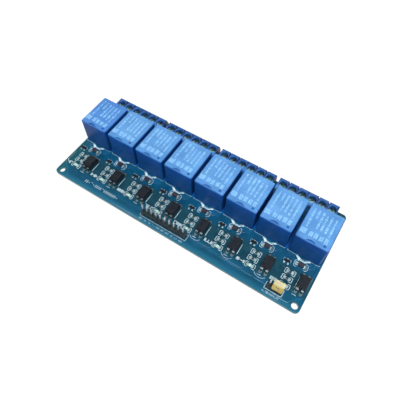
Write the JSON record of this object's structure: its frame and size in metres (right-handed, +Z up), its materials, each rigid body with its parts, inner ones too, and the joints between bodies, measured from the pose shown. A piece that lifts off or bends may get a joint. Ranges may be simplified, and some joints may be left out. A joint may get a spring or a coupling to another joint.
{
  "type": "relay module board",
  "caption": "Circuit board with a row of sealed relays, screw terminals behind them, a control pin header and a supply jumper in front, and mounting holes at the corners.",
  "frame": {"origin": "centre of the four corner mounting holes, on the board's underside", "axes": "+X along the board, +Y towards the screw terminals, +Z up from the board"},
  "size_m": [0.138, 0.056, 0.0189],
  "materials": {
    "board": "blue solder mask on glass laminate, satin gloss",
    "relay_case": "smooth moulded blue, satin gloss",
    "relay_base": "moulded blue base sealed with resin",
    "terminal_plastic": "moulded blue, satin",
    "plated_screw": "zinc plated steel",
    "plated_clamp": "nickel plated clamp",
    "tinned_pin": "tin plated",
    "bright_lead": "tin plated leads and end caps",
    "black_package": "moulded black epoxy",
    "resistor_body": "dark glaze on ceramic",
    "led_lens": "pale clear resin",
    "header_plastic": "moulded black",
    "header_pin": "plated square pins",
    "cap_plastic": "moulded yellow",
    "contact_metal": "plated spring contact",
    "solder": "bright tin solder"
  },
  "bodies": {
    "root": {"pcb": "board", "relay_cover_1": "relay_case", "relay_cover_2": "relay_case", "relay_cover_3": "relay_case", "relay_cover_4": "relay_case", "relay_cover_5": "relay_case", "relay_cover_6": "relay_case", "relay_cover_7": "relay_case", "relay_cover_8": "relay_case", "relay_base_1": "relay_base", "relay_base_2": "relay_base", "relay_base_3": "relay_base", "relay_base_4": "relay_base", "relay_base_5": "relay_base", "relay_base_6": "relay_base", "relay_base_7": "relay_base", "relay_base_8": "relay_base", "relay_pins": "tinned_pin", "terminal_housing_1": "terminal_plastic", "terminal_housing_2": "terminal_plastic", "terminal_housing_3": "terminal_plastic", "terminal_housing_4": "terminal_plastic", "terminal_housing_5": "terminal_plastic", "terminal_housing_6": "terminal_plastic", "terminal_housing_7": "terminal_plastic", "terminal_housing_8": "terminal_plastic", "terminal_screws": "plated_screw", "terminal_clamps": "plated_clamp", "terminal_pins": "tinned_pin", "optocoupler_1": "black_package", "optocoupler_2": "black_package", "optocoupler_3": "black_package", "optocoupler_4": "black_package", "optocoupler_5": "black_package", "optocoupler_6": "black_package", "optocoupler_7": "black_package", "optocoupler_8": "black_package", "optocoupler_leads": "bright_lead", "transistors": "black_package", "transistor_leads": "bright_lead", "diodes": "black_package", "diode_terminals": "bright_lead", "resistors": "resistor_body", "resistor_ends": "bright_lead", "leds": "led_lens", "led_ends": "bright_lead", "signal_header_base": "header_plastic", "signal_header_pins": "header_pin", "jumper_header_base": "header_plastic", "jumper_header_pins": "header_pin", "jumper_cap": "cap_plastic", "jumper_contact": "contact_metal", "solder_joints": "solder", "chip_solder": "solder"}
  },
  "joints": []
}
